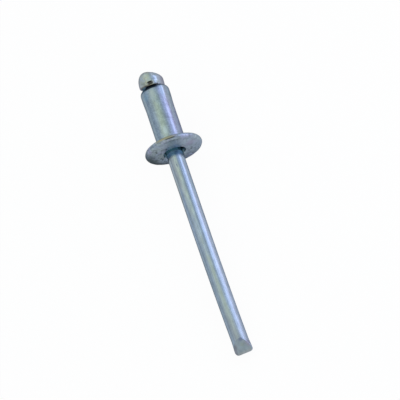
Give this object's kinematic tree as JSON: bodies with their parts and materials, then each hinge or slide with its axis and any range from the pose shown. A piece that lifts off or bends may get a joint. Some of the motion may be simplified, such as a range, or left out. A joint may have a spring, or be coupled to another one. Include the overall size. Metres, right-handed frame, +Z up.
{
  "type": "blind rivet",
  "caption": "Open-end blind rivet with a domed flange on a plain tubular body, on a headed pulling mandrel with a chisel point.",
  "frame": {"origin": "middle of the footprint, on the surface that the rivet lies on", "axes": "+X along the surface towards the mandrel's point, +Z up; the rivet's own axis dips 5.47 degrees below +X, because it rests on the rim of its flange and on its point"},
  "size_m": [0.035, 0.0064, 0.0065],
  "materials": {
    "body_zinc": "satin bright zinc plate with a thin blue passivation, faintly mottled",
    "mandrel_zinc": "drawn wire, zinc plated with a thin blue passivation, brighter than the body"
  },
  "bodies": {
    "root": {"rivet_body": "body_zinc", "mandrel": "mandrel_zinc"}
  },
  "joints": []
}
